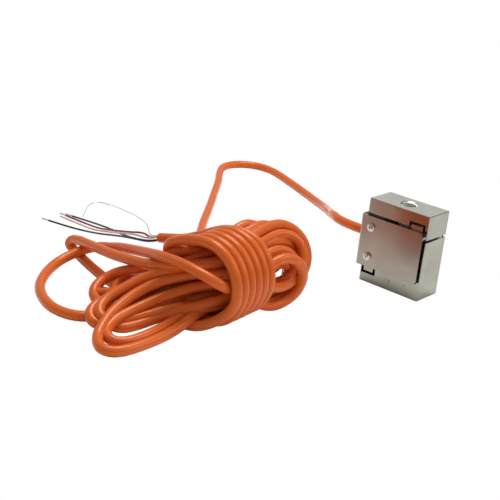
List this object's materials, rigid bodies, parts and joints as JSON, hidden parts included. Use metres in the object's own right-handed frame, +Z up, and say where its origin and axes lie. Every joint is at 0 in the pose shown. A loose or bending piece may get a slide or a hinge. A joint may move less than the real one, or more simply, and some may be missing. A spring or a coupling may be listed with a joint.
{
  "type": "s type load cell",
  "caption": "Block-shaped S-type force sensor with slotted spring body, threaded ends, folded side cover and a tied hank of orange signal cable.",
  "frame": {"origin": "centre of the base face, on the common axis of the two threads", "axes": "+Z up along the load axis, +X to the right seen from the front, front face towards -Y"},
  "size_m": [0.3034, 0.3845, 0.0635],
  "materials": {
    "body_steel": "ground stainless steel, satin",
    "cover_steel": "polished stainless sheet",
    "screw_steel": "bright zinc-plated steel",
    "ferrule_metal": "turned, nickel-plated",
    "gasket_rubber": "black rubber",
    "sealant": "black silicone sealant",
    "gauge_foil": "foil gauge on amber polyimide",
    "board": "green glass-fibre board",
    "resistor": "moulded chip",
    "cable_jacket": "glossy orange polyurethane",
    "core_red": "PVC insulation",
    "core_black": "PVC insulation",
    "core_green": "PVC insulation",
    "core_white": "PVC insulation",
    "tinned_copper": "tinned copper strands"
  },
  "bodies": {
    "root": {"bridge_wire_black": "core_black", "bridge_wire_green": "core_green", "bridge_wire_red": "core_red", "bridge_wire_white": "core_white", "cable_ferrule": "ferrule_metal", "cable_hank": "cable_jacket", "cable_inlet": "cable_jacket", "cable_jacket_end": "cable_jacket", "cable_lead": "cable_jacket", "cover": "cover_steel", "cover_screw_front_lower": "screw_steel", "cover_screw_front_upper": "screw_steel", "cover_screw_rear_lower": "screw_steel", "cover_screw_rear_upper": "screw_steel", "drain_wire": "tinned_copper", "front_gasket": "gasket_rubber", "front_seal_bead": "sealant", "gauge_lower_left": "gauge_foil", "gauge_lower_right": "gauge_foil", "gauge_upper_left": "gauge_foil", "gauge_upper_right": "gauge_foil", "rear_gasket": "gasket_rubber", "rear_seal_bead": "sealant", "s_body": "body_steel", "side_potting": "sealant", "span_resistor": "resistor", "terminal_board": "board", "wire_black": "core_black", "wire_black_tip": "tinned_copper", "wire_green": "core_green", "wire_green_tip": "tinned_copper", "wire_red": "core_red", "wire_red_tip": "tinned_copper", "wire_white": "core_white", "wire_white_tip": "tinned_copper", "zero_resistor": "resistor"}
  },
  "joints": []
}
